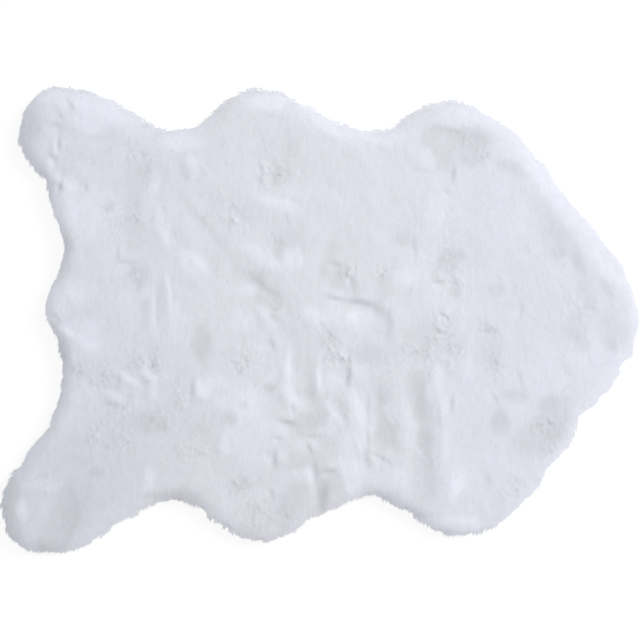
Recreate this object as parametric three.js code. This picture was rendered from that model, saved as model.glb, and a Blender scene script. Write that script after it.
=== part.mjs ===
// Faux sheepskin rug: a one-piece hide-shaped pile rug, lying flat with the pile up.
// Millimetres. +X runs along the rug to its snout end, +Y across it, +Z up; z = 0 is the floor.
import * as THREE from "three";

// ---- Sizes ----
const PILE_TOP = 25; // brushed pile, from the floor to the tips
const WIDEST_AT = 8; // height at which the rim of the pile reaches out furthest
const CROWN_INSET = 24; // how far in from the rim the pile stands at its full height
const BASE_INSET = 12; // how far the flat underside stays in from the rim
const PILE_COLOUR = 0xeeeff3;

// ---- How finely the surface is cut ----
const ARC_STEP = THREE.MathUtils.degToRad(14);
const LINE_STEP = 34;
const UNDER_RINGS = 2;
const RIM_RINGS = 5;
const FIELD_RINGS = 18;
const MIDDLE = { x: -20, y: 40 }; // every point of the outline is in sight of it
const INNERMOST = 0.05; // share of the outline's size at which the last ring lies

// ---- Outline: a belt drawn tight round circles, anticlockwise from the snout ----
// A lobe's circle is inside the belt and a bay's is outside it.
const OUTLINE_COLUMNS = ["name", "x", "y", "radius", "kind"];
const OUTLINE_ROWS = [
  ["snout", 324, 1, 126, "lobe"],
  ["right shoulder", 143, 108, 204, "lobe"],
  ["top right lobe", 181, 214, 96, "lobe"],
  ["top right bay", 66, 350, 80, "bay"],
  ["top middle lobe", -81, 241, 85, "lobe"],
  ["top left bay", -206, 343, 73, "bay"],
  ["top left brow", -360, 182, 148, "lobe"],
  ["top left foot", -367, 272, 58, "lobe"],
  ["top left heel", -372, 258, 53, "lobe"],
  ["left nick", -460, 164, 75, "bay"],
  ["left upper bay", -458, 100, 92, "bay"],
  ["left bump", -333, 16, 55, "lobe"],
  ["left lower bay", -499, -77, 132, "bay"],
  ["bottom left heel", -385, -255, 65, "lobe"],
  ["bottom left foot", -395, -274, 55, "lobe"],
  ["bottom left toe", -380, -221, 109, "lobe"],
  ["bottom left bay", -209, -338, 80, "bay"],
  ["bottom middle lobe", -82, -223, 90, "lobe"],
  ["bottom right bay", 69, -309, 57, "bay"],
  ["bottom right lobe", 202, -214, 91, "lobe"],
  ["right flank", 141, -103, 215, "lobe"],
  ["right knuckle", 284, -134, 80, "lobe"],
  ["right nick", 433, -186, 75, "bay"],
];

// ---- Relief of the pile: soft ridges (rise > 0) and troughs (rise < 0) ----
// length and width are the half sizes at which the rise has faded to about a third;
// turn is the angle of the length from +X, in degrees anticlockwise.
const RELIEF_COLUMNS = ["name", "x", "y", "length", "width", "turn", "rise"];
const RELIEF_ROWS = [
  ["middle crease", -88, 57, 34, 12, -42, -6],
  ["middle crease, upper run", -156, 149, 78, 18, -55, -2.5],
  ["middle crease, lower run", -59, -21, 58, 13, -70, -3],
  ["centre fold", 52, 31, 46, 11, -6, -6.5],
  ["centre pillow", 35, -4, 56, 24, 0, 3.5],
  ["top right trough", 197, 262, 50, 19, -14, -5.5],
  ["top right hollow", 185, 222, 40, 24, 80, -2.5],
  ["right lower hollow", 318, -149, 42, 28, 60, -4],
  ["bottom left trough", -361, -280, 44, 18, 75, -7],
  ["bottom left swell", -408, -252, 34, 20, 80, 2.5],
  ["bottom notch", 6, -238, 38, 15, 88, -6],
  ["first rib", -42, -89, 50, 12, -83, 3.5],
  ["second rib", 6, -108, 52, 12, -78, 4],
  ["third rib", 45, -172, 62, 14, -82, 4],
  ["fourth rib", 116, -141, 56, 12, -80, 3.5],
  ["fifth rib", 166, -150, 112, 14, -87, 3.5],
  ["valley before second rib", -14, -132, 44, 12, -70, -5],
  ["valley before fourth rib", 85, -134, 56, 13, -80, -3.5],
  ["valley before fifth rib", 143, -172, 82, 13, -88, -4.5],
  ["lower left swell", -113, -134, 58, 46, -40, 3.5],
  ["left valley", -255, 149, 96, 20, 88, -3],
  ["left rib", -216, 21, 56, 12, -85, 2.5],
  ["left cross crease", -276, -92, 88, 14, -8, -3],
  ["left bump crease", -348, -10, 28, 9, -15, -3.5],
  ["upper left swell", -335, 160, 46, 26, 80, 2.5],
  ["upper middle swell", -71, 163, 36, 16, -15, 3.5],
  ["upper middle hollow", -71, 212, 42, 28, 10, -3],
  ["middle hollow", -57, 118, 30, 24, 0, -3],
  ["centre hollow", 21, 80, 36, 22, 60, -3.5],
  ["right centre swell", 130, 57, 34, 22, 20, 3],
  ["right upper swell", 163, 149, 30, 20, 70, 3],
  ["right centre hollow", 184, 78, 46, 28, 88, -2.5],
  ["right upper hollow", 333, 113, 44, 26, -50, -2.5],
  ["snout hollow", 382, 14, 34, 26, 0, -2.5],
  ["bottom right swell", 191, -222, 40, 24, 85, 3],
];
const SWELL = 0.9; // a slow, uneven swell of the whole nap

const named = (columns) => (row) => Object.fromEntries(columns.map((c, i) => [c, row[i]]));
const CIRCLES = OUTLINE_ROWS.map(named(OUTLINE_COLUMNS));
const RELIEF = RELIEF_ROWS.map(named(RELIEF_COLUMNS));

// Headings of the belt's straight runs: run i leaves circle i for circle i + 1.
function runHeadings(circles) {
  return circles.map((from, i) => {
    const to = circles[(i + 1) % circles.length];
    const [dx, dy] = [to.x - from.x, to.y - from.y];
    const step = to.bend - from.bend;
    return Math.atan2(dy, dx) - Math.asin(step / Math.hypot(dx, dy));
  });
}

// The belt as points in order, each with the direction that points straight into the rug.
function beltPoints(rows) {
  const turn = 2 * Math.PI;
  const circles = rows.map((c) => ({ ...c, bend: c.kind === "lobe" ? c.radius : -c.radius }));
  const headings = runHeadings(circles);
  const points = [];
  const runTo = (end) => {
    const start = points[points.length - 1];
    const steps = Math.ceil(Math.hypot(end.x - start.x, end.y - start.y) / LINE_STEP);
    for (let k = 1; k < steps; k++) {
      const [x, y] = ["x", "y"].map((a) => start[a] + ((end[a] - start[a]) * k) / steps);
      points.push({ x, y, inX: end.inX, inY: end.inY });
    }
  };
  circles.forEach((c, i) => {
    const side = Math.sign(c.bend);
    const first = headings[(i + circles.length - 1) % circles.length];
    const sweep = (((headings[i] - first) * side) % turn + turn) % turn;
    const steps = Math.max(1, Math.ceil(sweep / ARC_STEP));
    for (let k = 0; k <= steps; k++) {
      const heading = first + (side * sweep * k) / steps;
      const [inX, inY] = [-Math.sin(heading), Math.cos(heading)];
      const point = { x: c.x - c.bend * inX, y: c.y - c.bend * inY, inX, inY };
      if (k === 0 && points.length) runTo(point);
      points.push(point);
    }
  });
  runTo(points[0]);
  return points;
}

// Height of the pile away from its rim.
function pileHeight(x, y) {
  let z = PILE_TOP + SWELL * Math.sin(x / 61 + 0.7 * Math.sin(y / 83)) * Math.cos(y / 47 - 0.4);
  for (const r of RELIEF) {
    const a = THREE.MathUtils.degToRad(r.turn);
    const along = ((x - r.x) * Math.cos(a) + (y - r.y) * Math.sin(a)) / r.length;
    const across = ((y - r.y) * Math.cos(a) - (x - r.x) * Math.sin(a)) / r.width;
    z += r.rise * Math.exp(-along * along - across * across);
  }
  return z;
}

// The rug's rings from the edge of the flat underside, round the rim and in over the pile.
function rugRings(belt) {
  const inset = (p, d) => [p.x + d * p.inX, p.y + d * p.inY];
  const rings = [];
  for (let k = 0; k < UNDER_RINGS; k++) {
    const a = (Math.PI / 2) * (1 - k / UNDER_RINGS);
    const back = BASE_INSET * (1 - Math.cos(a));
    rings.push(belt.map((p) => [...inset(p, back), WIDEST_AT * (1 - Math.sin(a))]));
  }
  for (let k = 0; k <= RIM_RINGS; k++) {
    const a = ((Math.PI / 2) * k) / RIM_RINGS;
    const back = CROWN_INSET * (1 - Math.cos(a));
    rings.push(belt.map((p) => {
      const [x, y] = inset(p, back);
      return [x, y, WIDEST_AT + (pileHeight(x, y) - WIDEST_AT) * Math.sin(a)];
    }));
  }
  for (let k = 1; k <= FIELD_RINGS; k++) {
    const share = 1 + (INNERMOST - 1) * (k / FIELD_RINGS);
    rings.push(belt.map((p) => {
      const [ex, ey] = inset(p, CROWN_INSET);
      const x = MIDDLE.x + (ex - MIDDLE.x) * share;
      const y = MIDDLE.y + (ey - MIDDLE.y) * share;
      return [x, y, pileHeight(x, y)];
    }));
  }
  return rings;
}

// A closed mesh: the rings joined in order, with a fan over each end.
function closedMesh(rings, underMiddle, topMiddle) {
  const count = rings[0].length;
  const positions = [...rings.flat(), underMiddle, topMiddle].flat();
  const under = rings.length * count;
  const top = under + 1;
  const index = [];
  for (let j = 0; j < count; j++) {
    const next = (j + 1) % count;
    index.push(under, next, j);
    for (let i = 0; i + 1 < rings.length; i++) {
      const [a, b] = [i * count + j, i * count + next];
      index.push(a, b, b + count, a, b + count, a + count);
    }
    const last = (rings.length - 1) * count;
    index.push(last + j, last + next, top);
  }
  const geometry = new THREE.BufferGeometry();
  geometry.setAttribute("position", new THREE.Float32BufferAttribute(positions, 3));
  geometry.setIndex(index);
  geometry.computeVertexNormals();
  return geometry;
}

function buildRug() {
  const { x, y } = MIDDLE;
  const rings = rugRings(beltPoints(CIRCLES));
  const geometry = closedMesh(rings, [x, y, 0], [x, y, pileHeight(x, y)]);
  geometry.computeBoundingBox();
  const centre = geometry.boundingBox.getCenter(new THREE.Vector3());
  geometry.translate(-centre.x, -centre.y, 0);
  const material = new THREE.MeshStandardMaterial({
    color: PILE_COLOUR, roughness: 0.95, metalness: 0, name: "pile",
  });
  const rug = new THREE.Mesh(geometry, material);
  rug.name = "rug";
  return rug;
}

const part = new THREE.Group();
part.name = "faux_sheepskin_rug";
part.add(buildRug());

export default part;
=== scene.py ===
"""Faux sheepskin rug: knitted backing, dense undercoat and a brushed pile of fine locks, built round
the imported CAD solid. Metres, +X along the rug to its snout end, +Y across it, +Z up."""
import math
from types import SimpleNamespace

import bpy
import numpy as np
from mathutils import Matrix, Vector, kdtree
from mathutils.geometry import delaunay_2d_cdt


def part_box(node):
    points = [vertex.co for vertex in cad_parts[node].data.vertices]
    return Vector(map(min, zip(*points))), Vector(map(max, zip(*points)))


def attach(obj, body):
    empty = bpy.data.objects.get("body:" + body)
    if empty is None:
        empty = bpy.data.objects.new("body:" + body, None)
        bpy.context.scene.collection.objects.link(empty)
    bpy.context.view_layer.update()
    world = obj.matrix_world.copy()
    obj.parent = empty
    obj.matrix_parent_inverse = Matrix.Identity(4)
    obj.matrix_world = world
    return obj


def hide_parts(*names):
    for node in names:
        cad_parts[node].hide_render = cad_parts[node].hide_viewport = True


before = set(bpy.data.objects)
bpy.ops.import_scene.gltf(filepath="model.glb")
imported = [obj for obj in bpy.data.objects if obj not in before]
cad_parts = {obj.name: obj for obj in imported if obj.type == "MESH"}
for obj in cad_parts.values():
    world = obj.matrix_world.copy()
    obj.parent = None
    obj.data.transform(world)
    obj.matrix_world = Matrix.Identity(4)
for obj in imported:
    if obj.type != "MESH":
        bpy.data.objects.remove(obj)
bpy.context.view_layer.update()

# ---- Sizes, in metres ----
MM = 0.001
WIDEST_AT = 8 * MM  # height at which the pile's rim reaches out furthest, as on the solid
CROWN_INSET = 24 * MM  # how far in from the rim the pile stands at its full height
MIDDLE = (-0.020, 0.040)  # every point of the outline is in sight of it
NAP_DEPTH = 2.2 * MM  # loose tips above the dense undercoat
BED_INSET = 3 * MM  # the undercoat's rim, in from the pile's
BED_TURN_UNDER = 9 * MM  # how far the undercoat goes back in under its rim
BED_LIFT = 0.1 * MM  # how far the undercoat is off the backing
BED_CELL = 3.5 * MM
BACKING_INSET = 11 * MM
BACKING_THICKNESS = 1.6 * MM
WALE = 3.6 * MM  # one column of knit stitches
COURSE = 3 * MM  # one row of them
OUTLINE_STEP = 4 * MM
OUTLINE_SMOOTHING = 8 * MM
SOLID_CELL = 4 * MM  # how finely the solid's height is read
RELIEF_CELL = 1.5 * MM  # how finely the pile's relief is worked out
HEIGHT_SMOOTHING = 11 * MM  # of the height read from the solid
RIM_SMOOTHING = 40 * MM  # of that height where it is carried out past the rim
ON_THE_LINE = 0.02 * MM  # how near the widest line a point of the solid counts as on it
NOISE_CELLS = 256  # soft noise repeats after so many
BATCH = 8000  # places compared with the outline at a time

# ---- Pile ----
SECTIONS = 5  # the pile is made in this many pieces, side by side along the rug
TUFT_SPACING = 11 * MM
LOCK_SPACING = 3.45 * MM
BLADES_PER_LOCK = 7
BLADE_LENGTH = 10 * MM
BLADE_WIDTH = 0.75 * MM
LOCK_SPREAD = 2.2 * MM
ROOT_DEPTH = 0.6 * MM  # how deep a blade starts in the undercoat
MIDDLE_CLEAR = 0.8 * MM  # how far off the undercoat its middle and its tip stay at least
TIP_CLEAR = 0.6 * MM
TIP_STRAY = 0.3 * MM
NAP_HEADING = math.radians(-97)  # the way the pile is brushed, anticlockwise from +X
NAP_WANDER = math.radians(14)
TUFT_SWING = math.radians(12)  # how far tufts turn from the nap, and locks from their tuft
LOCK_SWING = math.radians(8)
LEAN_AT_ROOT = math.radians(74)
LEAN_AT_TIP = math.radians(89)
LEAN_SPREAD = math.radians(1.5)
RUFFLED_LEAN = math.radians(5)  # how much further up ruffled locks stand
RIM_TILT = math.radians(35)  # how far the pile's outer face leans over at its rim
GENTLE_TILT = math.radians(16.5)  # the same where the rim slopes most gently
GENTLE_INSET = 34 * MM  # how far in from the rim that gentle slope starts
GENTLE_HEADING = math.radians(50)  # the side of the rug on which it is, anticlockwise from +X
MIDDLE_TONE = 0.55  # place of the plain pile on the scale from its darkest strands to its lightest
TONE_RANGE = 0.20  # how much lighter the lightest strands are than the darkest
TUFT_TONE, LOCK_TONE, BLADE_TONE = 0.016, 0.010, 0.012  # how far each of these varies
# some locks are made dark: painted shade of the shadowed gaps among the locks
PAINTED_SHADE_LOCK_SHARE, PAINTED_SHADE_LOCK_TONE = 0.015, 0.30  # how many locks are dark, and by how much
SHADE_TILT = math.radians(0.6)  # how far locks differ in the way they take the light
UNREST, RUFFLED_UNREST = 1.1, 3.9  # a factor on all this, and what ruffling adds to it
WARM_MIDDLE, WARM_REACH = -25 * MM, 235 * MM  # the stretch of the rug with most warm strands

# ---- Lamp, floor and camera ----
LAMP_HEADING = math.radians(28)
LAMP_HEIGHT = math.radians(28)
LAMP_DISTANCE = 4.14
LAMP_SIZE = 1.8
LAMP_POWER = 100  # watts
SKY_LIGHT = 0.71
FLOOR_HALF = 6  # half its side
FLOOR_GAP = 0.3 * MM
FLOOR_COLOUR = 0.85
FLOOR_SHADED, FLOOR_GLOW = 0.25, 0.79  # the floor that the camera sees takes a lighter shadow
LENS, SENSOR = 85, 36
VIEW_WIDTH, VIEW_LEVEL = 0.9057, 12 * MM  # the camera sees this width at this height


# ---- Tables, in millimetres and degrees ----
def table(text):
    """The rows of a table: a line of column names, then a line a row, with its own name first."""
    head, *lines = text.strip().splitlines()
    rows = []
    for line in lines:
        name, _, numbers = line.rpartition(":")
        rows.append(dict(zip(head.split(), map(float, numbers.split())), name=name))
    return rows


# Relief of the nap, and painted light and painted shade on its colour, on top of the solid's own
# folds.
# A row lies along `turn`, anticlockwise from +X; length and width are half sizes.
# A bank is a short steep face. slope is its rise over run: above 0 it faces the lamp and looks
# light, and below 0 it falls away from the lamp into shade.
BANKS = table("""
x y length width turn slope
middle crease: -84 51 15 6 -42 -0.37
middle crease, head: -108 66 20 9 -30 -0.21
middle crease, foot: -64 38 12 5 -40 -0.24
middle crease, loop end: -64 12 7 3 40 -0.4
thin crease, foot: -166 140 56 6 -50 -0.18
lower run, shade: -87 4 18 4 -50 -0.2
lower run, light: -70 -6 22 7 -48 0.14
lower run, pit: -66 -35 10 5 -85 -0.36
centre fold, start: 24 30 14 2.5 -4 -0.65
centre fold: 56 25 17 5 -8 -0.8
centre fold, bend: 84 15 15 9 -32 -0.34
centre fold, drop: 98 -6 22 6 88 -0.28
centre fold, lip: 20 40 12 3 -4 0.3
first rib: -44 -68 28 5.5 89 0.42
first rib, foot: -42 -106 10 7 80 0.3
first valley: -13 -92 20 5 -76 -0.1
second rib: -1 -80 24 3.5 88 0.42
second rib, foot: 18 -128 22 4 -60 0.3
second valley: 32 -126 20 4.5 -70 -0.18
third rib: 52 -122 30 5.5 -76 0.22
rib pit: 41 -79 13 4.5 90 -0.62
third valley: 68 -125 18 2.5 90 -0.3
scratch, side: 68 -168 15 2.2 -86 -0.42
scratch, foot: 86 -193 14 2.6 -26 -0.6
scratch, hollow: 68 -198 14 5 -80 -0.44
fifth valley, line: 167 -133 18 2.2 89 -0.25
fifth rib: 167 -88 30 6 -86 0.2
fifth rib, foot: 176 -185 30 6 88 0.16
hook, side: 187 -118 12 3 88 -0.42
notch: 4 -248 26 7 84 -0.38
notch, neck: -4 -212 14 5 90 -0.36
notch, crossing: 14 -212 10 3 8 -0.78
notch, lip: -12 -230 18 5 -75 0.27
crumple: -44 -144 14 3.2 -14 -0.62
crumple, floor: -10 -164 16 2.5 0 -0.52
crumple, left: -57 -166 9 2.5 -5 -0.42
crumple, right: -14 -180 8 2.5 -65 -0.5
crumple, tick: -37 -125 7 3 -70 -0.4
lower pit: -64 -195 9 4 78 -0.6
lower ledge: -32 -206 20 4 -4 -0.16
arc, foot: 28 -56 9 2.5 0 -0.55
bump streak: -355 -17 16 3.5 -22 0.32
bump dot: -372 6 8 3 -60 -0.42
left streak: -270 -82 24 5 -30 0.36
left streak, right: -240 -78 8 5 0 0.62
left tick: -283 -86 8 3 80 -0.34
dash: -287 -107 14 4 -12 0.45
dash, shade: -285 -119 14 2.5 0 -0.55
pillow edge: -179 -98 12 3 88 -0.45
lobe tick: -68 -243 7 3 88 -0.4
thin ridge: -213 40 26 2.5 -83 0.36
thin ridge, left: -233 20 36 3 87 0.32
thin valley, left: -246 12 24 6 88 -0.12
left curl: -217 115 18 4.5 -60 0.16
ridge shade: -220 152 18 3 -78 -0.1
diagonal ridge: -168 80 20 6 -55 0.25
box side: -284 95 12 2.5 85 -0.36
box foot: -270 80 14 2.5 -8 -0.42
foot curl: -364 286 11 3 -65 -0.35
foot curl, foot: -369 273 10 3 -10 -0.55
foot tick: -351 303 10 3 -62 -0.5
heel dot: -376 230 5 3 0 -0.8
heel line: -367 245 10 2.5 85 -0.5
heel light: -370 201 10 4 -20 0.48
heel tick: -363 188 8 3.5 80 -0.7
brow dot: -329 186 4.5 3 90 -0.38
left column: -83 205 18 3 88 -0.32
hollow spot: 42 61 6 3.5 10 -0.5
hollow top: 19 80 12 4.5 -20 -0.35
long crease, foot: 134 102 16 2.8 -82 -0.28
upper dash: 141 212 12 3.5 0 -0.26
trough bank: 180 268 26 4.5 -8 -0.15
standing stroke: 187 203 14 3.5 87 -0.42
standing stroke, foot: 181 182 7 2.5 -10 -0.42
right pit: 190 53 6 2.5 -70 -0.55
right pit, left: 168 54 8 2 0 -0.6
right curve: 364 80 17 7 -66 -0.28
right tick: 384 17 8 3 -20 -0.28
right dashes: 238 -13 12 2 0 -0.45
middle dashes: 166 -15 12 2 -12 -0.45
middle dash: 175 6 7 1.8 -20 -0.65
hair: 283 14 9 2 85 -0.42
right line: 282 -80 18 2.8 -72 -0.2
right bank: 247 -111 9 2.5 -65 -0.28
lower right core: 316 -148 18 4 -6 -0.15
snout line: 351 -74 13 3.5 -42 -0.18
snout foot: 413 -38 12 5 -70 -0.24
""")
BANK_RETURN = 6  # how many times wider than its steep face a bank's slow return is

# A patch is painted light or painted shade on the pile's colour: tone is by how many steps.
PAINTED_LIGHT_STEP = 1 / 82  # a share of the pile's colour
PAINTED_LIGHT_AND_SHADE_PATCHES = table("""
x y length width turn tone
crease shoulder: -82 88 30 10 -35 8
crease shoulder, right: -40 85 18 14 0 5.5
upper swell: -62 166 32 11 -22 7
middle hollow: -54 116 28 13 0 -3.5
middle hollow, foot: -56 96 8 14 0 -7
upper hollow: -56 206 20 16 0 -4.5
upper hollow, top: -38 250 26 13 -75 -3.7
centre pillow: 24 5 44 15 -3 3
centre hollow: 26 68 22 14 0 -2
centre hollow, top: 21 102 20 8 90 -4
centre hollow, left: 4 72 8 13 0 -7
right centre swell: 118 60 20 13 -10 5
upper right swell: 160 148 24 16 90 4
trough: 199 258 44 14 -8 -12
trough core: 172 256 26 17 -5 -16
below the trough: 215 232 26 14 0 -7
shoulder hollow: 272 212 26 11 -20 -6
right upper hollow: 324 142 44 18 -60 -3
right blob: 336 96 10 9 0 -9
right blob, wide: 330 108 34 20 -50 -3
snout shade: 408 44 18 10 -50 -7
snout shade, edge: 430 26 22 9 -75 -4.5
snout hollow: 378 40 24 12 -60 -4
small hollow: 247 43 13 11 0 -6
right centre hollow: 183 88 19 17 0 -6
right centre hollow, foot: 190 40 9 10 0 -8
snout band: 366 -28 18 8 -50 -7
standing light: 209 -65 34 9 90 4
right light: 260 -113 13 6 -20 3
lower right hollow: 322 -152 40 24 60 -7
lower right hollow, left: 252 -142 20 13 90 -9.5
lower right hollow, low: 294 -168 26 24 0 -7
lobe spot: 235 -228 14 7 90 -4
foot swell: 191 -233 21 11 90 8
fifth valley: 146 -185 92 15 88 -4
fifth valley, core: 150 -168 14 14 0 -4
fourth valley: 90 -146 50 16 -78 -4
fourth valley, band: 98 -158 30 10 -55 -3
fourth valley, low: 83 -170 10 20 15 -6
fourth rib, foot: 112 -224 16 14 90 5
fourth rib, edge: 99 -129 8 14 15 9
third rib, foot: 43 -212 40 14 -80 11
third rib, middle: 34 -168 12 10 0 5
second rib, side: 10 -78 24 12 90 2.5
left pillow: -163 -94 15 12 90 12
plateau: -106 -140 60 34 -75 5.5
plateau, knob: -111 -131 13 8 90 3
plateau, side: -134 -175 16 7 -80 10
plateau, top: -88 -108 20 9 0 7
plateau, corner: -142 -112 10 13 0 4
first rib, shade: -70 -93 10 5 -20 -11
first rib, side: -65 -76 8 10 0 8
bay light: -241 -221 18 8 85 8
foot trough: -358 -277 42 14 85 -17
foot trough, core: -356 -290 11 10 0 -29
foot light: -419 -268 17 9 90 10
foot band: -385 -232 32 8 0 4
lower left spot: -314 -212 9 7 0 -6
lower left shade: -235 -142 34 18 0 -5
left shade: -165 -32 26 14 90 -7.5
left shade, low: -298 -80 16 20 0 -4.5
left shade, edge: -338 -72 16 10 0 -4
left oval: -352 165 36 12 90 7.5
left oval, wide: -328 145 42 26 60 4
left bump: -350 40 30 18 0 5
brow hollow, core: -250 208 13 8 0 -5
bay hollow: -190 207 15 10 -70 -6
left ridge: -236 180 28 9 85 5.5
left valley: -263 150 80 13 90 -4
left square: -258 63 16 13 0 -5
valley light: -245 38 8 8 0 9
rib light: -204 0 28 10 90 3
lower left quarter: -330 -215 150 70 25 -4
foot hollow: -370 -295 38 20 50 -15.5
top left foot rim: -402 270 34 15 88 -4
crumple floor: -20 -147 20 16 0 -7
notch side: -18 -250 42 26 10 -7.2
notch side, right: 8 -255 24 9 88 -3
fifth valley top: 137 -98 22 17 90 -6.2
fifth valley side: 140 -128 9 16 0 -8
rib blotch: 84 -104 8 13 0 -4
beside the valley foot: 15 -150 9 15 0 9
below the crease: -112 0 16 18 0 5.5
below the fold start: 36 18 16 9 -20 -5
crumple shade: -22 -196 22 12 0 -6
right lower shade, side: 322 -116 14 12 0 -8.5
right lower shade: 270 -106 20 10 0 -7
right of the core: 325 -172 38 22 50 -2.5
snout lower hollow: 362 -8 26 18 60 -6
snout edge: 418 -10 30 22 -80 -5
lower left bay rim: -360 -42 24 12 85 -8
upper left bay rim: -354 110 22 9 85 -5
left bump rim: -379 24 12 28 0 14
fifth valley light: 155 -104 14 5 90 10
fifth valley light, low: 160 -182 34 5 -85 4
right of the crease: -8 4 24 10 -40 7
top right hollow: 174 236 34 14 -85 -8
top left heel shade: -402 270 18 9 90 -6
middle speck: -106 -122 8 7 0 -8
left speck: -266 -110 8 7 0 -6
second valley speck: -30 -138 7 9 0 -10
left heel rim: -372 152 10 26 8 8.5
top left crest, right: -312 310 26 11 -20 7
top left crest: -372 312 24 10 0 6
bump light, low: -322 -32 20 14 0 7.5
bump light: -335 -12 26 16 20 5
bump light, core: -328 -12 16 12 0 4
bottom right lobe rim: 186 -287 52 10 0 11
snout rim: 432 -22 12 26 0 -4.5
left dot shade: -298 160 9 8 0 -8
bottom left bay rim: -205 -247 44 11 0 -8
bottom left bay rim, side: -135 -286 34 9 -35 8.5
plateau notch: -127 -139 12 10 0 -9
lobe strokes: -112 -230 14 13 0 -6
lobe strokes, low: -52 -278 13 17 0 -5
trough top light: 205 288 34 10 -15 3
foot edge: -432 -265 45 16 95 -6
top left bay light: -198 250 28 14 0 9
top left bay light, side: -180 216 10 18 0 8
top left brow: -326 278 26 15 -15 9
top middle crest: -74 308 32 13 0 9
top middle shoulder: 5 284 50 13 -35 8
top right bay light: 80 262 40 10 0 7
top right bay light, right: 94 252 22 9 0 4
upper left shade: -310 192 40 12 0 -2
right rim light: 342 165 90 13 -55 2.5
ruffled foot: -90 -278 26 20 0 -2
ruffled right: 241 -36 20 42 0 -4
ruffled middle: 165 -24 44 36 0 -3.2
upper snout rim: 408 92 34 12 -52 -2.5
middle shade: -110 58 26 8 -10 -3
under the left trough: -144 -85 14 12 0 4
lower right light: 325 -147 9 6 0 6
beside the long crease: 116 115 13 10 0 -5
left of the first rib: -228 -78 20 12 0 5
crease, lower side: -82 28 15 8 -35 -8
left of the fourth rib: 72 -48 30 16 0 -4
diagonal ridge, side: -184 80 22 12 -55 7.5
upper middle light: -114 125 36 14 -60 4
thin ridge light: -222 140 30 10 -75 6.5
right centre shade: 172 66 16 22 0 -5
top left shoulder: -320 300 60 14 -22 7
right middle: 320 60 130 60 70 -2
""")

# Where the nap is ruffled into small curls, out to `reach` from the middle of each place.
RUFFLES = table("""
x y reach
-122 146 24
-60 205 24
-80 205 14
-262 140 20
-258 60 15
-298 160 12
-300 -165 32
-285 -118 18
-228 -142 24
-178 -178 24
-60 20 14
-110 -55 22
175 85 22
170 -12 26
140 -40 26
185 -45 20
238 -12 16
245 -62 20
325 -150 22
318 -185 16
265 -238 14
100 -60 20
25 -45 28
40 70 14
92 68 14
190 52 12
-90 -275 30
357 14 14
-250 225 24
200 258 16
-55 112 12
-262 -58 16
-230 -62 18
-335 -75 18
-305 -80 16
-198 -112 18
-112 -230 14
-50 -275 16
137 -124 9
138 -172 9
362 16 14
228 236 10
""")

# Tufts of the rim: how far the pile reaches past the solid's outline at x, y,
# or stays back from it, fading along the rim within the spread.
TUFT_PLACES = table("""
x y reach spread
left bump: -388 26 3.4 30
under the left bump: -372 -22 -5 14
left lower bay: -366 -58 -3.5 22
left lower bay, foot: -366 -100 -2.5 24
bottom left neck: -386 -152 -5 19
bottom left neck, lower: -420 -198 -4 20
bottom left heel: -452 -260 3 12
bottom left heel, under: -444 -304 2.5 10
bottom left toe: -391 -331 -1.5 11
bottom left toe, right: -364 -329 1.5 13
bottom left slope: -286 -288 -4.5 12
bottom left bay: -200 -256 -4.8 40
bottom middle tuft: -157 -281 4 9
bottom middle, left: -133 -296 -2 12
bottom middle lobe: -78 -313 2.5 18
bottom middle, right: -14 -284 -7 18
bottom middle slope: 14 -270 -3.5 15
bottom right bay, left: 42 -257 -2.5 12
bottom right bay: 78 -249 -6 26
bottom right slope: 127 -271 -5 14
bottom right lobe, left: 165 -299 2 14
bottom right flank: 293 -253 -3 10
right flank: 323 -210 -5 16
right knuckle: 354 -176 3 11
right nick: 370 -136 -7.5 17
above the right nick: 410 -94 3 11
snout notch: 429 -62 -4.5 9
snout tuft: 441 -46 4 9
snout: 452 5 4.5 22
upper snout: 428 82 4.6 22
upper right flank: 388 128 4 32
right shoulder: 318 218 4 16
right shoulder, upper: 272 264 3.6 36
top right lobe: 190 310 3.2 26
top right bay, slope: 103 272 -8 17
top right bay: 66 268 -2 20
top middle lobe, right: -56 324 4.5 9
top middle lobe: -103 325 5.4 19
top middle lobe, left: -131 311 2.6 13
top left bay, right: -174 275 -3.5 12
top left bay: -226 270 -3.4 18
top left slope: -284 303 -2.5 13
top left slope, upper: -306 317 -3.5 11
top left crown: -382 328 3 17
top left heel: -425 258 2.4 13
left nick: -388 197 -4.5 14
left upper bay: -364 105 -5.2 15
left upper bay, foot: -368 74 -2.6 12
""")

# ---- The nap's own relief and tone, with painted sheen and painted shade ----
STROKE_DEPTH = 0.08 * MM  # fine strokes along the nap
RUFFLED_STROKE_DEPTH = 0.10 * MM  # what they gain where it is ruffled
LUMP_DEPTH = 0.21 * MM
SWELL_DEPTH = 0.36 * MM
CURL_DEPTH = 0.9 * MM  # curls of the ruffled places
# slow patches lighter and darker: painted sheen of nap lying different ways; the lumps' tone changes
# at random
SLOW_PAINTED_SHEEN, LUMP_TONE = 0.006, 0.004
# ruffled places and their specks are painted shade, of the curls and the small gaps between them
RUFFLE_PAINTED_SHADE, SPECK_PAINTED_SHADE = 0.014, 0.12  # how much darker ruffled places and their specks are
PAINTED_SPECK_WIDTH = 0.16

rng = np.random.default_rng(11)  # for the draws of the pile, which are made in a fixed order


# ---- Small helpers ----
def unit(v):
    return v / np.maximum(np.linalg.norm(v, axis=-1, keepdims=True), 1e-12)


def between(grid, i, j, a, b):
    """The grid's values a and b of the way from i and j to the next ones."""
    low = grid[i, j] * (1 - a) + grid[i + 1, j] * a
    high = grid[i, j + 1] * (1 - a) + grid[i + 1, j + 1] * a
    return low * (1 - b) + high * b


def bilinear(grid, u, v):
    u = np.clip(u, 0, grid.shape[0] - 1.001)
    v = np.clip(v, 0, grid.shape[1] - 1.001)
    i, j = u.astype(int), v.astype(int)
    return between(grid, i, j, u - i, v - j)


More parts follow.
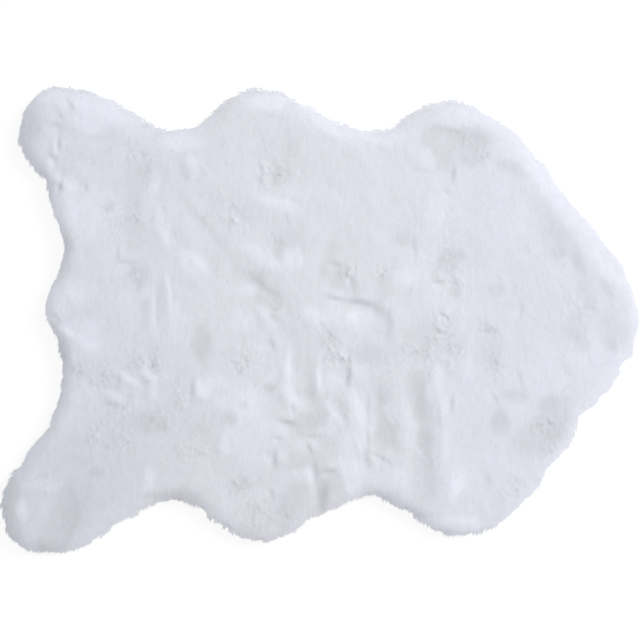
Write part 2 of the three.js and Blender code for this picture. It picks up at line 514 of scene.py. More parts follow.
def soft_noise(u, v, seed):
    """Soft noise from -1 to 1 over the plane, with features about one unit wide."""
    grid = np.random.default_rng(seed).uniform(-1, 1, (NOISE_CELLS + 1, NOISE_CELLS + 1))
    i, j = np.floor(u).astype(int), np.floor(v).astype(int)
    a, b = u - i, v - j
    a, b = a * a * (3 - 2 * a), b * b * (3 - 2 * b)
    return between(grid, i % NOISE_CELLS, j % NOISE_CELLS, a, b)


def turned_noise(x, y, cell, seed):
    """Two layers of soft noise, turned so that no rows show."""
    one = soft_noise((0.8 * x + 0.6 * y) / cell, (0.8 * y - 0.6 * x) / cell, seed)
    two = soft_noise((0.3 * x - 0.95 * y) / cell, (0.95 * x + 0.3 * y) / cell, seed + 100)
    return 0.75 * (one + two)


def round_blur(values, sigma):
    """A Gaussian blur of a closed ring of values, one row a step."""
    n = len(values)
    steps = np.minimum(np.arange(n), n - np.arange(n))
    kernel = np.exp(-0.5 * (steps / sigma) ** 2)
    spectrum = np.fft.fft(kernel / kernel.sum())
    return np.real(np.fft.ifft(np.fft.fft(values, axis=0) * spectrum[:, None], axis=0))


def grid_blur(values, sigma):
    """A Gaussian blur of a grid, sigma in its cells."""
    reach = int(3 * sigma) + 1
    kernel = np.exp(-0.5 * (np.arange(-reach, reach + 1) / sigma) ** 2)
    kernel /= kernel.sum()
    for axis in (0, 1):
        values = np.apply_along_axis(np.convolve, axis, values, kernel, "same")
    return values


def new_mesh(name, places, faces, smooth=True):
    """A mesh object from vertex places and faces that all have the same number of corners."""
    mesh = bpy.data.meshes.new(name)
    faces = np.asarray(faces, np.int32)
    mesh.vertices.add(len(places))
    mesh.vertices.foreach_set("co", np.asarray(places, np.float32).ravel())
    mesh.loops.add(faces.size)
    mesh.loops.foreach_set("vertex_index", faces.ravel())
    mesh.polygons.add(len(faces))
    corners = faces.shape[1]
    mesh.polygons.foreach_set("loop_start", np.arange(len(faces), dtype=np.int32) * corners)
    mesh.polygons.foreach_set("use_smooth", np.full(len(faces), smooth))
    mesh.update(calc_edges=True)
    obj = bpy.data.objects.new(name, mesh)
    bpy.context.scene.collection.objects.link(obj)
    return obj


# ---- The rug's outline and height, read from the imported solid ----
def solid_points():
    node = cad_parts["rug"]
    places = np.empty(len(node.data.vertices) * 3, np.float32)
    node.data.vertices.foreach_get("co", places)
    return np.unique(places.reshape(-1, 3).round(6), axis=0).astype(float)


def read_outline():
    """Even points round the widest line of the solid, anticlockwise, and the way out at each."""
    places = solid_points()
    ring = places[np.abs(places[:, 2] - WIDEST_AT) < ON_THE_LINE][:, :2]
    away = ring - MIDDLE
    ring = ring[np.argsort(np.arctan2(away[:, 1], away[:, 0]))]
    closed = np.vstack([ring, ring[:1]])
    along = np.r_[0, np.cumsum(np.linalg.norm(np.diff(closed, axis=0), axis=1))]
    count = int(along[-1] / MM)
    at = np.arange(count) * along[-1] / count
    fine = np.stack([np.interp(at, along, closed[:, k]) for k in (0, 1)], 1)
    fine = round_blur(fine, OUTLINE_SMOOTHING / MM)
    line = fine[:: int(OUTLINE_STEP / MM)]
    ahead = unit(np.roll(line, -1, axis=0) - np.roll(line, 1, axis=0))
    return line, np.stack([ahead[:, 1], -ahead[:, 0]], 1)


def rim_tufts():
    """How far the pile's rim stands out past each point of the outline."""
    reach = np.zeros(len(OUTLINE))
    for r in TUFT_PLACES:
        away = np.linalg.norm(OUTLINE - np.array([r["x"], r["y"]]) * MM, axis=1)
        reach += r["reach"] * MM * np.exp(-(away / (r["spread"] * MM))**2)
    return reach


def nearest_edge(x, y):
    """How far inside the pile's rim each place is, in metres, and the way out at the nearest
    point of the outline. The rim's tufts fade out at the crown, so the measure is stretched."""
    flat = np.stack([np.ravel(x), np.ravel(y)], 1)
    inside, way = np.empty(len(flat)), np.empty((len(flat), 2))
    size = (OUTLINE**2).sum(1)
    for start in range(0, len(flat), BATCH):
        some = flat[start:start + BATCH]
        k = (size - 2 * some @ OUTLINE.T).argmin(1)
        deep = ((OUTLINE[k] - some) * OUTWARD[k]).sum(1)
        stretched = (deep + TUFTS[k]) / (1 + TUFTS[k] / CROWN_INSET)
        inside[start:start + BATCH] = np.where(deep < CROWN_INSET, stretched, deep)
        way[start:start + BATCH] = OUTWARD[k]
    return inside.reshape(np.shape(x)), way.reshape(*np.shape(x), 2)


def read_solid_height():
    """The height of the solid's crown on a grid, carried outwards past the rounded rim."""
    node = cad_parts["rug"]
    low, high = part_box("rug")
    xs = np.arange(low.x, high.x + SOLID_CELL, SOLID_CELL)
    ys = np.arange(low.y, high.y + SOLID_CELL, SOLID_CELL)
    heights = np.full((len(xs), len(ys)), np.nan)
    inside, _ = nearest_edge(*np.meshgrid(xs, ys, indexing="ij"))
    above, down = 0.1, Vector((0, 0, -1))
    for i, j in np.argwhere(inside > CROWN_INSET):
        hit, place, _, _ = node.ray_cast(Vector((xs[i], ys[j], above)), down)
        if hit:
            heights[i, j] = place.z
    known = np.isfinite(heights)
    filled = np.where(known, heights, 0.0)
    weight = known.astype(float)
    reach = HEIGHT_SMOOTHING / SOLID_CELL
    near = grid_blur(filled, reach) / np.maximum(grid_blur(weight, reach), 1e-6)
    wide = RIM_SMOOTHING / SOLID_CELL
    far = grid_blur(filled, wide) / np.maximum(grid_blur(weight, wide), 1e-6)
    share = np.clip(grid_blur(weight, reach) * 2, 0, 1)
    return xs, ys, near * share + far * (1 - share)


def strayed(x, y, reach, cell, seed):
    """The places moved about a little, so that what is drawn there gets uneven edges."""
    return x + reach * turned_noise(x, y, cell, seed), y + reach * turned_noise(x, y, cell, seed + 1)


def in_row(r, x, y):
    """Each place in half lengths along a row and half widths across it."""
    turn = math.radians(r["turn"])
    dx, dy = x / MM - r["x"], y / MM - r["y"]
    along = (dx * math.cos(turn) + dy * math.sin(turn)) / r["length"]
    return along, (dy * math.cos(turn) - dx * math.sin(turn)) / r["width"]


def bank_relief(x, y):
    """The rise of the banks. Each one's steep face looks to the lamp, or away from it."""
    x, y = strayed(x, y, 1.5 * MM, 16 * MM, 41)
    z = np.zeros_like(x)
    for r in BANKS:
        along, across = in_row(r, x, y)
        to_lamp = math.cos(math.radians(r["turn"] + 90) - LAMP_HEADING)
        face = (np.tanh(across) - np.tanh(across / BANK_RETURN)) / (1 - 1 / BANK_RETURN)
        rise = math.copysign(r["slope"], to_lamp * r["slope"]) * r["width"] * MM
        z -= rise * face * np.exp(-along**2)
    return z


def painted_light_and_shade(x, y):
    # painted light and painted shade of the patches, as shares of the pile's colour
    x, y = strayed(x, y, 3 * MM, 14 * MM, 43)
    tone = np.zeros_like(x)
    for r in PAINTED_LIGHT_AND_SHADE_PATCHES:
        along, across = in_row(r, x, y)
        tone += r["tone"] * PAINTED_LIGHT_STEP * np.exp(-(along**2 + across**2) ** 2)
    return tone


def ruffle_share(x, y):
    """How ruffled the nap is, from 0 to 1."""
    x, y = strayed(x, y, 5 * MM, 18 * MM, 47)
    share = np.zeros_like(x)
    for r in RUFFLES:
        away = np.hypot(x / MM - r["x"], y / MM - r["y"]) / r["reach"]
        share = np.maximum(share, np.exp(-(away**2)))
    return share * np.clip(0.7 + 0.8 * turned_noise(x, y, 9 * MM, 45), 0, 1)


def nap_relief(x, y, ruffle):
    """Strokes of the brushed nap, the soft lumps under them and the ruffled curls, in metres."""
    c, s = math.cos(NAP_HEADING), math.sin(NAP_HEADING)
    along, across = x * c + y * s, y * c - x * s
    across = across + 2.5 * MM * turned_noise(x, y, 22 * MM, 21)
    fine = soft_noise(across / (3.6 * MM), along / (10 * MM), 22)
    fine = fine + soft_noise(across / (5.2 * MM) + 40, along / (14 * MM), 23)
    lumps = turned_noise(x, y, 13 * MM, 24)
    swells = turned_noise(x, y, 30 * MM, 25)
    curls = np.abs(turned_noise(x, y, 6 * MM, 26)) + 0.5 * turned_noise(x, y, 3.6 * MM, 27)
    strokes = (STROKE_DEPTH + RUFFLED_STROKE_DEPTH * ruffle) * fine
    return strokes + LUMP_DEPTH * lumps + SWELL_DEPTH * swells + CURL_DEPTH * ruffle * curls


def work_out_crown():
    """The crown's height on a fine grid, with its slopes, tone (painted light and shade included) and
    share of ruffled nap.
    """
    sx, sy, solid = read_solid_height()
    xs = np.arange(sx[0], sx[-1], RELIEF_CELL)
    ys = np.arange(sy[0], sy[-1], RELIEF_CELL)
    x, y = np.meshgrid(xs, ys, indexing="ij")
    z = bilinear(solid, (x - sx[0]) / SOLID_CELL, (y - sy[0]) / SOLID_CELL)
    ruffle = ruffle_share(x, y)
    z = z + bank_relief(x, y) + nap_relief(x, y, ruffle)
    slope_x, slope_y = np.gradient(z, RELIEF_CELL)
    tone = painted_light_and_shade(x, y) + SLOW_PAINTED_SHEEN * turned_noise(x, y, 28 * MM, 31)
    # specks: painted shade of small gaps among the curls
    specks = np.clip(1 - np.abs(turned_noise(x, y, 7 * MM, 33)) / PAINTED_SPECK_WIDTH, 0, 1)
    tone = tone + LUMP_TONE * turned_noise(x, y, 10 * MM, 32)
    tone = tone - ruffle * (RUFFLE_PAINTED_SHADE + SPECK_PAINTED_SHADE * specks)
    return {"x": xs[0], "y": ys[0], "z": z, "slope_x": slope_x, "slope_y": slope_y,
            "tone": tone, "ruffle": ruffle}


def crown(what, x, y):
    """One of the crown's values at each place: z, slope_x, slope_y, tone or ruffle."""
    return bilinear(CROWN[what], (x - CROWN["x"]) / RELIEF_CELL, (y - CROWN["y"]) / RELIEF_CELL)


OUTLINE, OUTWARD = read_outline()
TUFTS = rim_tufts()
CROWN = work_out_crown()


# ---- The undercoat: the surface that the pile stands on ----
def ring_at(inset):
    """The pile's rim, tufts and all, moved in by this much."""
    tufts = TUFTS * max(0, 1 - inset / CROWN_INSET)
    return OUTLINE - (inset - tufts)[:, None] * OUTWARD


def rim_rings(steps):
    """Rings from the undercoat's foot, round its rim, up to where the crown is level."""
    foot = BACKING_THICKNESS + BED_LIFT
    rings = []
    for k in (2, 1):
        a = math.pi / 2 * k / 3
        ring = ring_at(BED_INSET + BED_TURN_UNDER * (1 - math.cos(a)))
        rings.append(np.c_[ring, np.full(len(ring), foot + (WIDEST_AT - foot) * (1 - math.sin(a)))])
    for k in range(steps + 1):
        a = math.pi / 2 * k / steps
        ring = ring_at(BED_INSET + (CROWN_INSET - BED_INSET) * (1 - math.cos(a)))
        top = crown("z", *ring.T) - NAP_DEPTH
        rings.append(np.c_[ring, WIDEST_AT + (top - WIDEST_AT) * math.sin(a)])
    return rings


def bed_height(x, y):
    """Height of the undercoat's surface, and 0 where a place is outside its widest line."""
    inside, _ = nearest_edge(x, y)
    share = np.clip((inside - BED_INSET) / (CROWN_INSET - BED_INSET), 0, 1)
    top = crown("z", x, y) - NAP_DEPTH
    return (WIDEST_AT + (top - WIDEST_AT) * np.sqrt(share * (2 - share))) * (share > 0)


def field_points(edge):
    """An even triangle grid of places inside a ring, which stays clear of it."""
    xs = np.arange(edge[:, 0].min(), edge[:, 0].max(), BED_CELL)
    ys = np.arange(edge[:, 1].min(), edge[:, 1].max(), BED_CELL * math.sqrt(0.75))
    x, y = np.meshgrid(xs, ys, indexing="ij")
    x = x + BED_CELL / 2 * (np.arange(len(ys)) % 2)
    inside, _ = nearest_edge(x, y)
    kept = inside > CROWN_INSET + 0.6 * BED_CELL
    return np.stack([x[kept], y[kept]], 1)


def filled_ring(ring, extra):
    """Triangles that fill a ring, through the extra places within it."""
    count = len(ring)
    places = [Vector(p) for p in np.vstack([ring, extra])]
    sides = [(k, (k + 1) % count) for k in range(count)]
    found, _, faces, _, _, _ = delaunay_2d_cdt(places, sides, [], 1, 1e-7)
    assert len(found) == len(places)
    return np.array(faces)


def undercoat_surface():
    """The undercoat's places and triangles: its rim's rings, its top and its underside."""
    rings = rim_rings(8)
    count = len(rings[0])
    j = np.arange(count)
    ahead = (j + 1) % count
    faces = []
    for i in range(len(rings) - 1):
        a, b = i * count + j, i * count + ahead
        faces += [np.c_[a, b, b + count], np.c_[a, b + count, a + count]]
    edge = rings[-1][:, :2]
    field = field_points(edge)
    top = filled_ring(edge, field)
    faces.append(top + (len(rings) - 1) * count)
    under = filled_ring(rings[0][:, :2], np.empty((0, 2)))
    faces.append(under[:, ::-1])
    heights = crown("z", *field.T) - NAP_DEPTH
    return np.vstack([*rings, np.c_[field, heights]]), np.vstack(faces)


def make_undercoat(places, faces):
    """The undercoat, shaded above its widest line as the pile over it is."""
    undercoat = new_mesh("undercoat", places, faces)
    normals = vertex_normals(places, faces)
    upper = places[:, 2] > WIDEST_AT - 0.1 * MM
    normals[upper] = pile_normals(places[upper])
    undercoat.data.normals_split_custom_set_from_vertices(normals.astype(np.float32))
    # the undercoat takes the crown's tone too, painted light and shade included
    tone = MIDDLE_TONE + crown("tone", places[:, 0], places[:, 1]) / TONE_RANGE
    layer = undercoat.data.attributes.new("tone", "FLOAT", "POINT")
    layer.data.foreach_set("value", tone.astype(np.float32))
    return undercoat


# ---- Backing ----
def make_backing():
    ring = ring_at(BACKING_INSET)
    count = len(ring)
    places = np.vstack([np.c_[ring, np.full(count, z)] for z in (0, BACKING_THICKNESS)])
    j = np.arange(count)
    ahead = (j + 1) % count
    fill = filled_ring(ring, np.empty((0, 2)))
    faces = np.vstack([np.c_[j, ahead, ahead + count], np.c_[j, ahead + count, j + count],
                       fill + count, fill[:, ::-1]])
    return new_mesh("knitted_backing", places, faces, smooth=False)


# ---- Pile ----
def surface_samples(places, faces, spacing):
    """Even random places on the undercoat, with their triangle and their place in it. They are
    twice as many below its widest line, where fewer strands come down over it."""
    a, b, c = places[faces[:, 0]], places[faces[:, 1]], places[faces[:, 2]]
    lower = (a + b + c)[:, 2] / 3 < WIDEST_AT
    total = np.cumsum(np.linalg.norm(np.cross(b - a, c - a), axis=1) / 2 * (1 + lower))
    count = int(total[-1] / spacing**2)
    picked = np.searchsorted(total, (np.arange(count) + rng.uniform(0, 1, count)) * total[-1] / count)
    picked = np.minimum(picked, len(faces) - 1)
    u, v = rng.uniform(0, 1, (2, count))
    flip = u + v > 1
    u[flip], v[flip] = 1 - u[flip], 1 - v[flip]
    at = a[picked] + u[:, None] * (b - a)[picked] + v[:, None] * (c - a)[picked]
    return at, picked, u, v


def pile_normals(places):
    """The way the pile's outer face looks at each place, whatever the lie of the strands there."""
    x, y = places.T[:2]
    inside, way = nearest_edge(x, y)
    gentle = way @ [math.cos(GENTLE_HEADING), math.sin(GENTLE_HEADING)]
    gentle = np.clip(0.4 + 0.9 * gentle, 0, 1)
    rim = np.clip(1 - inside / (CROWN_INSET + (GENTLE_INSET - CROWN_INSET) * gentle), 0, 1)
    steep = RIM_TILT * rim**1.1
    lean = (steep + (GENTLE_TILT * rim**0.7 - steep) * gentle)[:, None]
    slopes = np.stack([crown("slope_x", x, y), crown("slope_y", x, y)], 1)
    level = way * np.sin(lean) - slopes * (1 - 0.5 * rim)[:, None]
    return unit(np.c_[level, np.cos(lean)])


def vertex_normals(places, faces):
    """The way the faces round each vertex look, larger ones counting for more."""
    normals = np.zeros_like(places)
    a, b, c = places[faces[:, 0]], places[faces[:, 1]], places[faces[:, 2]]
    cross = np.cross(b - a, c - a)
    for k in range(3):
        np.add.at(normals, faces[:, k], cross)
    return unit(normals)


def warmth(x, y):
    """Share of slightly warmer strands: most along the middle of the rug, fewest at its ends."""
    along = (x - WARM_MIDDLE) / WARM_REACH
    return np.clip(0.15 + 0.8 * np.exp(-(along**4)) + 0.25 * turned_noise(x, y, 60 * MM, 51), 0, 1)


def nap_direction(x, y):
    heading = NAP_HEADING + NAP_WANDER * turned_noise(x, y, 150 * MM, 1)
    heading = heading + NAP_WANDER * turned_noise(x, y, 50 * MM, 2)
    return np.stack([np.cos(heading), np.sin(heading)], 1)


def nearest_tufts(at, bed_places, faces):
    """The tuft that each lock is in, and how many tufts there are. Its locks lean alike."""
    middles = surface_samples(bed_places, faces, TUFT_SPACING)[0]
    tree = kdtree.KDTree(len(middles))
    for k, place in enumerate(middles):
        tree.insert(place, k)
    tree.balance()
    return np.array([tree.find(place)[1] for place in at]), len(middles)


def plant_locks(bed_places, bed_faces):
    """Where the locks stand on the undercoat, and what their place there says about them."""
    normals = vertex_normals(bed_places, bed_faces)
    faces = bed_faces[bed_places[bed_faces][:, :, 2].max(1) > BACKING_THICKNESS + 1 * MM]
    at, picked, u, v = surface_samples(bed_places, faces, LOCK_SPACING)
    x, y = at[:, 0], at[:, 1]
    inside, way = nearest_edge(x, y)
    corner = normals[faces[picked]]
    normal = unit(corner[:, 0] * (1 - u - v)[:, None] + corner[:, 1] * u[:, None]
                  + corner[:, 2] * v[:, None])
    # where the crown is level, its own slopes give finer normals than the bed's triangles
    level = np.clip((inside - CROWN_INSET) / (6 * MM), 0, 1)[:, None]
    slopes = np.stack([-crown("slope_x", x, y), -crown("slope_y", x, y), np.ones(len(at))], 1)
    normal = unit(normal * (1 - level) + unit(slopes) * level)
    tuft, tufts = nearest_tufts(at, bed_places, faces)
    ruffle = crown("ruffle", x, y)
    return SimpleNamespace(
        at=at, normal=normal, way=way, tuft=tuft, tufts=tufts, ruffle=ruffle,
        rim=np.clip(1 - (inside - BED_INSET) / (18 * MM), 0, 1),
        under=np.clip((WIDEST_AT + 1 * MM - at[:, 2]) / (3 * MM), 0, 1),
        unrest=UNREST + RUFFLED_UNREST * ruffle)


def by_tuft(locks):
    """A random number for each tuft, which all its locks share."""
    return rng.standard_normal(locks.tufts)[locks.tuft]


def by_lock(locks):
    return rng.standard_normal(len(locks.at))


def grow(at, normal, length, heading, lean_root, lean_tip):
    """The middle and the tip of a lock that leaves its bed at lean_root and bends over to lean_tip."""
    side = unit(heading - (heading * normal).sum(1, keepdims=True) * normal)

    def step(lean):
        return normal * np.cos(lean)[:, None] + side * np.sin(lean)[:, None]

    middle = at + step(lean_root) * (0.5 * length)[:, None]
    return middle, middle + step(lean_tip) * (0.5 * length)[:, None]


def brush(locks):
    """The middle and the tip of each lock, laid over along the nap and out past the rim."""
    rim, under, ruffle = locks.rim, locks.under, locks.ruffle
    nap = nap_direction(locks.at[:, 0], locks.at[:, 1])
    swing = TUFT_SWING * by_tuft(locks)
    swing += LOCK_SWING * (1 + 6 * ruffle) * by_lock(locks)
    c, s = np.cos(swing), np.sin(swing)
    nap = np.stack([nap[:, 0] * c - nap[:, 1] * s, nap[:, 0] * s + nap[:, 1] * c], 1)
    pull = nap + locks.way * (0.9 * rim**1.5)[:, None]
    heading = np.c_[pull * (1 - 0.7 * under)[:, None], -0.35 * rim - 1.5 * under]
    length = BLADE_LENGTH * (1 + (0.10 + 0.12 * rim) * by_tuft(locks) + 0.08 * by_lock(locks))
    length *= (1 - 0.1 * rim) * (1 - 0.35 * ruffle)
    lift = LEAN_SPREAD * by_tuft(locks)
    lift *= 1 + 5 * rim * (1 - under)
    lift -= RUFFLED_LEAN * ruffle
    lean_root = LEAN_AT_ROOT + lift + LEAN_SPREAD * by_lock(locks)
    lean_tip = LEAN_AT_TIP + lift + LEAN_SPREAD * by_lock(locks)
    return grow(locks.at, locks.normal, length, heading, lean_root, lean_tip)


def lock_colours(locks):
    """Each lock's tone, and whether it is one of the warm ones."""
    x, y = locks.at[:, 0], locks.at[:, 1]
    tone = MIDDLE_TONE + TUFT_TONE * locks.unrest * by_tuft(locks)
    tone += LOCK_TONE * locks.unrest * by_lock(locks)
    # dark locks, in clusters: painted shade of the gaps among the locks
    painted_shade_chance = PAINTED_SHADE_LOCK_SHARE * locks.unrest * (1 + turned_noise(x, y, 60 * MM, 34))
    tone[rng.uniform(0, 1, len(x)) < painted_shade_chance] -= PAINTED_SHADE_LOCK_TONE
    return tone, rng.uniform(0, 1, len(x)) < warmth(x, y)


def cut_blades(locks, middle, tip, own):
    """The corners of each blade of the locks: two at its root, two at its middle, one at its tip."""
    n = len(own)
    at, normal = locks.at[own], locks.normal[own]
    spin = rng.uniform(0, 2 * math.pi, n)
    out = LOCK_SPREAD * np.sqrt(rng.uniform(0, 1, n))
    t1 = unit(np.cross(normal, [0.0, 1.0, 0.1]))
    t2 = np.cross(normal, t1)
    shift = t1 * (out * np.cos(spin))[:, None] + t2 * (out * np.sin(spin))[:, None]
    stretch = (1 + 0.12 * rng.standard_normal(n))[:, None]
    root = at + shift - normal * ROOT_DEPTH
    mid = at + (middle - locks.at)[own] * stretch + shift * 0.9
    end = at + (tip - locks.at)[own] * stretch + shift * 0.7
    end += TIP_STRAY * rng.standard_normal((n, 3))
    upper = at[:, 2] > WIDEST_AT
    for point, clear in ((mid, MIDDLE_CLEAR), (end, TIP_CLEAR)):
        point[:, 2] = np.maximum(point[:, 2], upper * bed_height(point[:, 0], point[:, 1]) + clear)
    run = unit(end - root)
    outer = pile_normals(mid)
    across = unit(np.cross(run, outer) + 0.25 * rng.standard_normal((n, 3)))
    across = unit(across - (across * run).sum(1, keepdims=True) * run)
    width = BLADE_WIDTH * (1 + 0.2 * rng.standard_normal(n))[:, None]
    corners = np.stack([root - across * width * 0.4, root + across * width * 0.4,
                        mid - across * width / 2, mid + across * width / 2, end], 1)
    # a blade that looks into the pile is turned round
    facing = np.cross(corners[:, 1] - corners[:, 0], corners[:, 4] - corners[:, 0])
    back = (facing * outer).sum(1) < 0
    corners[back] = corners[back][:, [1, 0, 3, 2, 4]]
    return corners


def make_pile(bed_places, bed_faces):
    """The pile's blades, in pieces of as many locks each, side by side along the rug."""
    locks = plant_locks(bed_places, bed_faces)
    middle, tip = brush(locks)
    lock_tone, warm = lock_colours(locks)
    count = len(locks.at)
    own = np.repeat(np.arange(count), BLADES_PER_LOCK)  # the lock that each blade is in
    n = len(own)
    corners = cut_blades(locks, middle, tip, own)
    # the crown's tone brings the painted light and shade of the patches and ruffles onto the blades
    tone = crown("tone", *corners.reshape(-1, 3).T[:2]).reshape(n, 5) / TONE_RANGE
    blade_tone = lock_tone[own] + BLADE_TONE * locks.unrest[own] * rng.standard_normal(n)
    tone = np.clip(tone + blade_tone[:, None], 0.02, 0.98)
    shade = pile_normals(corners.reshape(-1, 3)).reshape(n, 5, 3)
    tilt = SHADE_TILT * locks.unrest[:, None] * rng.standard_normal((count, 3))
    shade = unit(shade + tilt[own][:, None])
    section = np.empty(count, int)
    section[np.argsort(locks.at[:, 0])] = np.arange(count) * SECTIONS // count
    pieces = []
    for k in range(SECTIONS):
        mine = section[own] == k
        pieces.append(blade_mesh(f"pile_section_{k + 1}", corners[mine], shade[mine],
                                 tone[mine], warm[own][mine]))
    return pieces


def blade_mesh(name, corners, shade, tone, warm):
    """Blades of three triangles each. Their map has the tone across it and the way from root to
    tip up it, with the warm strands above the cool ones."""
    n = len(corners)
    first = np.arange(n)[:, None] * 5
    faces = np.stack([first + [0, 1, 3], first + [0, 3, 2], first + [2, 3, 4]], 1).reshape(-1, 3)
    obj = new_mesh(name, corners.reshape(-1, 3), faces)
    mesh = obj.data
    mesh.normals_split_custom_set_from_vertices(shade.reshape(-1, 3).astype(np.float32))
    half = 0.006  # half a blade's width on the map
    u = tone + np.array([-half, half, -half, half, 0.0])
    v = np.array([0.01, 0.01, 0.25, 0.25, 0.48]) + 0.5 * warm[:, None]
    places = np.stack([u, v], 2).reshape(-1, 2)[faces.ravel()]
    layer = mesh.uv_layers.new(name="OFBake")
    layer.uv.foreach_set("vector", places.astype(np.float32).ravel())
    return obj


# ---- Materials ----
def new_material(name, roughness):
    material = bpy.data.materials.new(name)
    material.use_nodes = True
    shader = material.node_tree.nodes["Principled BSDF"]
    shader.inputs["Roughness"].default_value = roughness
    shader.inputs["Specular IOR Level"].default_value = 0.2
    return material, material.node_tree, shader


def new_ramp(tree, value, stops):
    """The colour at a value, from stops of a place and a colour each."""
    ramp = tree.nodes.new("ShaderNodeValToRGB")
    elements = ramp.color_ramp.elements
    for _ in range(len(stops) - 2):
        elements.new(0.5)
    for element, (place, colour) in zip(elements, stops):
        element.position, element.color = place, (*colour, 1)
    tree.links.new(value, ramp.inputs["Fac"])
    return ramp.outputs["Color"]


def new_tone(tree, value):
    """The scale of tone that the strands' own colours are multiplied by."""
    lightest = 1.0
    darkest = lightest - TONE_RANGE
    # the dark end, where random tone and painted shade both fall, is a little warm
    a_little_warm = (darkest + 0.005, darkest, darkest - 0.015)
    return new_ramp(tree, value, [(0, a_little_warm), (1, (lightest,) * 3)])


def new_product(tree, one, other):
    mix = tree.nodes.new("ShaderNodeMix")
    mix.data_type, mix.blend_type = "RGBA", "MULTIPLY"
    mix.inputs["Factor"].default_value = 1.0
    tree.links.new(one, mix.inputs["A"])
    tree.links.new(other, mix.inputs["B"])
    return mix.outputs["Result"]


def new_noise(tree, vector, scale, detail=2):
    noise = tree.nodes.new("ShaderNodeTexNoise")
    noise.inputs["Scale"].default_value = scale
    noise.inputs["Detail"].default_value = detail
    tree.links.new(vector, noise.inputs["Vector"])
    return noise.outputs["Fac"]


def new_maths(tree, operation, *values):
    """A Math node over sockets and plain numbers."""
    node = tree.nodes.new("ShaderNodeMath")
    node.operation = operation
    for socket, value in zip(node.inputs, values):
        if isinstance(value, (int, float)):
            socket.default_value = value
        else:
            tree.links.new(value, socket)
    return node.outputs[0]


def new_bump(tree, shader, height, distance):
    bump = tree.nodes.new("ShaderNodeBump")
    bump.inputs["Distance"].default_value = distance
    tree.links.new(height, bump.inputs["Height"])
    tree.links.new(bump.outputs["Normal"], shader.inputs["Normal"])


def new_parts(tree, vector):
    parts = tree.nodes.new("ShaderNodeSeparateXYZ")
    tree.links.new(vector, parts.inputs[0])
    return parts.outputs


def pile_material():
    """The strands' colours from root to tip, times their tone, both read from the blades' map."""
    material, tree, shader = new_material("white_pile", 0.8)
    layer = tree.nodes.new("ShaderNodeUVMap")
    layer.uv_map = "OFBake"
    place = new_parts(tree, layer.outputs["UV"])
    # each strand is darker at its root than at its tip: painted shade of the depths of the pile
    cool_root, cool_tip = (0.788, 0.813, 0.907), (0.819, 0.842, 0.940)
    warm_root, warm_tip = (0.801, 0.813, 0.889), (0.832, 0.842, 0.923)
    along = new_ramp(tree, place["Y"], [(0, cool_root), (0.35, cool_tip), (0.499, cool_tip),
                                        (0.501, warm_root), (0.85, warm_tip), (1, warm_tip)])
    colour = new_product(tree, along, new_tone(tree, place["X"]))
    tree.links.new(colour, shader.inputs["Base Color"])
    return material


def undercoat_material():
    """Short crimped wool: fine clumps over slow changes of shade. Painted shade: darker in the clumps'
    low places, and darker as a whole than the strands over it.
    """
    material, tree, shader = new_material("white_undercoat", 0.9)
    places = tree.nodes.new("ShaderNodeTexCoord").outputs["Object"]
    clumps = new_noise(tree, places, 420, 3)
    slow = new_noise(tree, places, 35)
    both = new_maths(tree, "ADD", new_maths(tree, "MULTIPLY", clumps, 0.7),
                     new_maths(tree, "MULTIPLY", slow, 0.3))
    # darker where the clumps lie low: painted shade
    deep, high = (0.765, 0.785, 0.855), (0.815, 0.837, 0.91)
    wool = new_ramp(tree, both, [(0.3, deep), (0.7, high)])
    tone = tree.nodes.new("ShaderNodeAttribute")
    tone.attribute_name = "tone"
    colour = new_product(tree, wool, new_tone(tree, tone.outputs["Fac"]))
    tree.links.new(colour, shader.inputs["Base Color"])
    new_bump(tree, shader, clumps, 0.5 * MM)
    return material


def backing_material():
    """Plain knit seen on its face: columns of V-shaped stitches, off-white, a little uneven."""
    material, tree, shader = new_material("knit_backing", 0.85)
    places = tree.nodes.new("ShaderNodeTexCoord").outputs["Object"]
    place = new_parts(tree, places)
    wobble = new_maths(tree, "MULTIPLY", new_noise(tree, places, 60), 0.5)
    column = new_maths(tree, "DIVIDE", place["X"], WALE)
    from_edge = new_maths(tree, "PINGPONG", new_maths(tree, "ADD", column, wobble), 0.5)
    row = new_maths(tree, "DIVIDE", place["Y"], COURSE)
    slanted = new_maths(tree, "ADD", new_maths(tree, "ADD", row, wobble),
                        new_maths(tree, "MULTIPLY", from_edge, 1.6))
    strand = new_maths(tree, "PINGPONG", slanted, 0.5)
    loop = new_maths(tree, "MULTIPLY", new_maths(tree, "SQRT", strand),
                     new_maths(tree, "SQRT", new_maths(tree, "ADD", from_edge, 0.05)))
    fuzz = new_maths(tree, "MULTIPLY", new_noise(tree, places, 900, 3), 0.12)
    height = new_maths(tree, "ADD", loop, fuzz)
    # darker between the loops of yarn, where the knit lies low: painted shade
    gap_painted_shade, yarn = (0.50, 0.49, 0.47), (0.80, 0.79, 0.76)
    tree.links.new(new_ramp(tree, height, [(0.1, gap_painted_shade), (0.6, yarn)]), shader.inputs["Base Color"])
    new_bump(tree, shader, height, 0.8 * MM)
    return material


# ---- Stage ----
def seen_share(tree):
    """1 for the rays by which the camera sees a thing, straight or by way of gloss or glass."""
    path = tree.nodes.new("ShaderNodeLightPath").outputs
    either = new_maths(tree, "MAXIMUM", path["Is Camera Ray"], path["Is Glossy Ray"])
    return new_maths(tree, "MAXIMUM", either, path["Is Transmission Ray"])


def new_diffuse(tree, level):
    shader = tree.nodes.new("ShaderNodeBsdfDiffuse")
    shader.inputs["Color"].default_value = (level, level, level, 1)
    return shader.outputs[0]


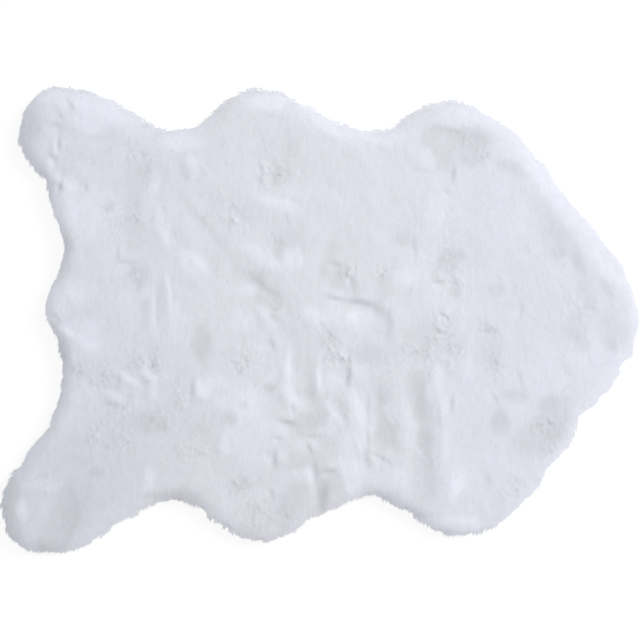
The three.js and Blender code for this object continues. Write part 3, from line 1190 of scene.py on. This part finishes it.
def when_seen(tree, unseen, seen, out):
    """One shader for the rays that see the stage, and another for those that light the rug."""
    mix = tree.nodes.new("ShaderNodeMixShader")
    tree.links.new(seen_share(tree), mix.inputs["Fac"])
    tree.links.new(unseen, mix.inputs[1])
    tree.links.new(seen, mix.inputs[2])
    tree.links.new(mix.outputs[0], out.inputs["Surface"])


def floor_material():
    """White to the camera where the light reaches it, and darker in the rug's shadow."""
    material = bpy.data.materials.new("pale_floor")
    material.use_nodes = True
    tree = material.node_tree
    tree.nodes.clear()
    glow = tree.nodes.new("ShaderNodeEmission")
    glow.inputs["Strength"].default_value = FLOOR_GLOW
    lifted = tree.nodes.new("ShaderNodeAddShader")
    tree.links.new(new_diffuse(tree, FLOOR_SHADED), lifted.inputs[0])
    tree.links.new(glow.outputs[0], lifted.inputs[1])
    out = tree.nodes.new("ShaderNodeOutputMaterial")
    when_seen(tree, new_diffuse(tree, FLOOR_COLOUR), lifted.outputs[0], out)
    return material


def make_stage():
    half = FLOOR_HALF
    corners = [(-half, -half, 0), (half, -half, 0), (half, half, 0), (-half, half, 0)]
    floor = new_mesh("floor", corners, [(0, 1, 2, 3)])
    floor.location.z = -FLOOR_GAP
    floor.data.materials.append(floor_material())


def make_light():
    key = bpy.data.lights.new("key", "AREA")
    key.shape, key.size, key.energy = "DISK", LAMP_SIZE, LAMP_POWER
    lamp = bpy.data.objects.new("key", key)
    level = LAMP_DISTANCE * math.cos(LAMP_HEIGHT)
    lamp.location = (level * math.cos(LAMP_HEADING), level * math.sin(LAMP_HEADING),
                     LAMP_DISTANCE * math.sin(LAMP_HEIGHT))
    lamp.rotation_euler = (-lamp.location).to_track_quat("-Z", "Y").to_euler()
    bpy.context.scene.collection.objects.link(lamp)
    world = bpy.data.worlds.new("studio")
    world.use_nodes = True
    tree = world.node_tree
    sky, bright = tree.nodes["Background"], tree.nodes.new("ShaderNodeBackground")
    for background, strength in ((sky, SKY_LIGHT), (bright, 1)):
        background.inputs["Color"].default_value = (1, 1, 1, 1)
        background.inputs["Strength"].default_value = strength
    when_seen(tree, sky.outputs[0], bright.outputs[0], tree.nodes["World Output"])
    bpy.context.scene.world = world


def make_camera():
    camera = bpy.data.cameras.new("camera")
    camera.lens, camera.sensor_width = LENS, SENSOR
    eye = bpy.data.objects.new("camera", camera)
    eye.location = (0, 0, VIEW_WIDTH * LENS / SENSOR + VIEW_LEVEL)
    bpy.context.scene.collection.objects.link(eye)
    bpy.context.scene.camera = eye


# ---- The rug on its stage ----
backing = make_backing()
backing.data.materials.append(backing_material())
bed_places, bed_faces = undercoat_surface()
undercoat = make_undercoat(bed_places, bed_faces)
undercoat.data.materials.append(undercoat_material())
pile = make_pile(bed_places, bed_faces)
white = pile_material()
for piece in pile:
    piece.data.materials.append(white)
    # blades are far coarser than fibres, so each is lit as if the others were not there
    piece.visible_shadow = False
    piece.visible_diffuse = False
for piece in (backing, undercoat, *pile):
    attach(piece, "root")
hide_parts("rug")

make_stage()
make_light()
make_camera()
bpy.context.scene.view_settings.view_transform = "Standard"
